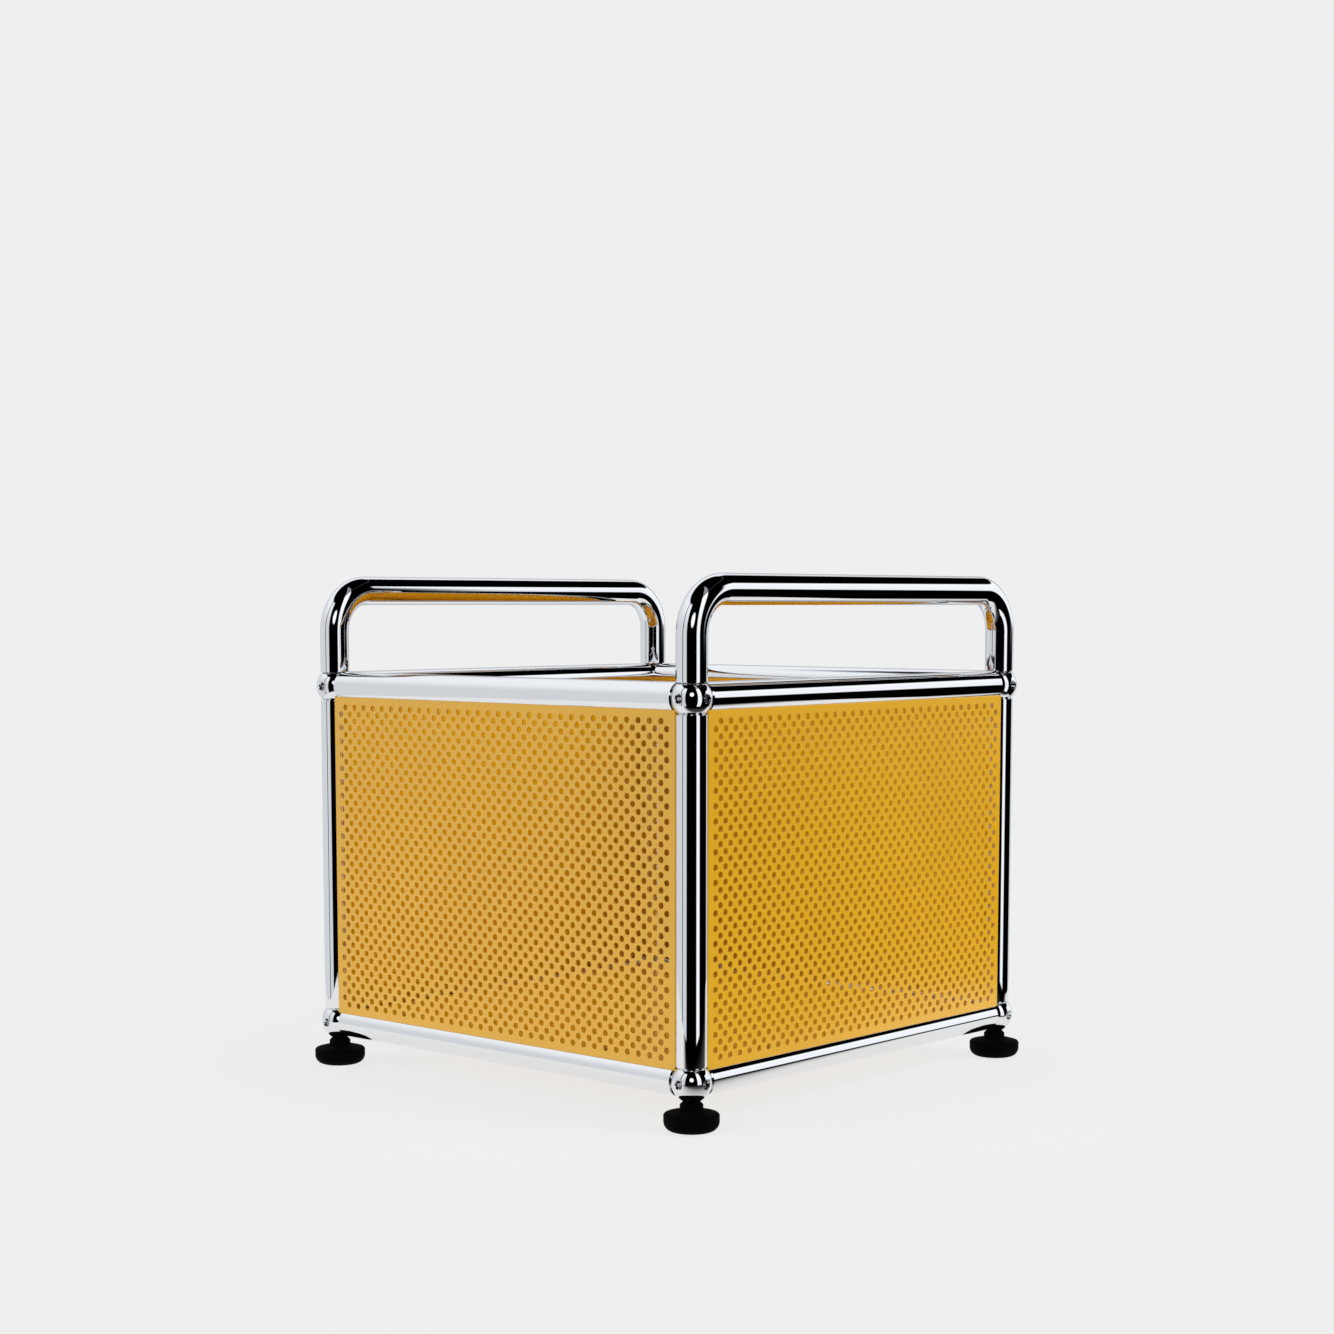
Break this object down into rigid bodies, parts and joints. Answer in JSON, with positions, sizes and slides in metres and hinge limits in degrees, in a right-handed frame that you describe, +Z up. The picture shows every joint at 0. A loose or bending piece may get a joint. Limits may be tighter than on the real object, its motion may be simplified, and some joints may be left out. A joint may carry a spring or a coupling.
{
  "type": "open storage crate",
  "caption": "Open-topped square storage crate: chromed ball-and-tube frame, yellow sheet-metal sides and floor (front and left perforated), bent-tube handles over two opposite sides, black levelling feet.",
  "frame": {"origin": "on the ground, under the middle of the crate", "axes": "+Z up; the two handles run along X, over the front (-Y) and back (+Y) sides"},
  "size_m": [0.387, 0.387, 0.3625],
  "materials": {
    "polished_balls": "mirror-polished chromium plating on brass",
    "chromed_tube": "mirror-polished chromium plating on steel tube",
    "yellow_sheet": "golden-yellow powder coat, satin",
    "zinc_fixings": "raw die casting",
    "plated_steel": "bright zinc plating",
    "black_feet": "moulded, fine matt texture"
  },
  "bodies": {
    "crate": {"ball_top_front_right": "polished_balls", "ball_top_front_left": "polished_balls", "ball_top_back_right": "polished_balls", "ball_top_back_left": "polished_balls", "ball_bottom_front_right": "polished_balls", "ball_bottom_front_left": "polished_balls", "ball_bottom_back_right": "polished_balls", "ball_bottom_back_left": "polished_balls", "upright_front_right": "chromed_tube", "upright_front_left": "chromed_tube", "upright_back_right": "chromed_tube", "upright_back_left": "chromed_tube", "rail_top_front": "chromed_tube", "rail_top_back": "chromed_tube", "rail_top_left": "chromed_tube", "rail_top_right": "chromed_tube", "rail_bottom_front": "chromed_tube", "rail_bottom_back": "chromed_tube", "rail_bottom_left": "chromed_tube", "rail_bottom_right": "chromed_tube", "panel_front": "yellow_sheet", "panel_back": "yellow_sheet", "panel_left": "yellow_sheet", "panel_right": "yellow_sheet", "panel_floor": "yellow_sheet", "handle_front": "chromed_tube", "handle_back": "chromed_tube", "tube_plugs": "zinc_fixings", "joint_screws": "plated_steel", "snap_buttons": "plated_steel"},
    "pad_front_right": {"foot_pad_front_right": "black_feet"},
    "neck_front_right": {"foot_neck_front_right": "black_feet", "foot_stud_front_right": "plated_steel"},
    "pad_front_left": {"foot_pad_front_left": "black_feet"},
    "neck_front_left": {"foot_neck_front_left": "black_feet", "foot_stud_front_left": "plated_steel"},
    "pad_back_right": {"foot_pad_back_right": "black_feet"},
    "neck_back_right": {"foot_neck_back_right": "black_feet", "foot_stud_back_right": "plated_steel"},
    "pad_back_left": {"foot_pad_back_left": "black_feet"},
    "neck_back_left": {"foot_neck_back_left": "black_feet", "foot_stud_back_left": "plated_steel"}
  },
  "joints": [
    {"name": "lift_front_right", "type": "slide", "parent": "crate", "child": "pad_front_right", "axis": [0, 0, -1], "range_m": [0, 0.005]},
    {"name": "turn_front_right", "type": "hinge", "parent": "pad_front_right", "child": "neck_front_right", "pos_m": [0.175, -0.175, 0], "axis": [0, 0, -1], "range_deg": [0, 1800]},
    {"name": "lift_front_left", "type": "slide", "parent": "crate", "child": "pad_front_left", "axis": [0, 0, -1], "range_m": [0, 0.005]},
    {"name": "turn_front_left", "type": "hinge", "parent": "pad_front_left", "child": "neck_front_left", "pos_m": [-0.175, -0.175, 0], "axis": [0, 0, -1], "range_deg": [0, 1800]},
    {"name": "lift_back_right", "type": "slide", "parent": "crate", "child": "pad_back_right", "axis": [0, 0, -1], "range_m": [0, 0.005]},
    {"name": "turn_back_right", "type": "hinge", "parent": "pad_back_right", "child": "neck_back_right", "pos_m": [0.175, 0.175, 0], "axis": [0, 0, -1], "range_deg": [0, 1800]},
    {"name": "lift_back_left", "type": "slide", "parent": "crate", "child": "pad_back_left", "axis": [0, 0, -1], "range_m": [0, 0.005]},
    {"name": "turn_back_left", "type": "hinge", "parent": "pad_back_left", "child": "neck_back_left", "pos_m": [-0.175, 0.175, 0], "axis": [0, 0, -1], "range_deg": [0, 1800]}
  ],
  "couplings": [
    {"joint": "turn_front_right", "follows": "lift_front_right", "rad_per_m": 6283.2},
    {"joint": "turn_front_left", "follows": "lift_front_left", "rad_per_m": 6283.2},
    {"joint": "turn_back_right", "follows": "lift_back_right", "rad_per_m": 6283.2},
    {"joint": "turn_back_left", "follows": "lift_back_left", "rad_per_m": 6283.2}
  ]
}
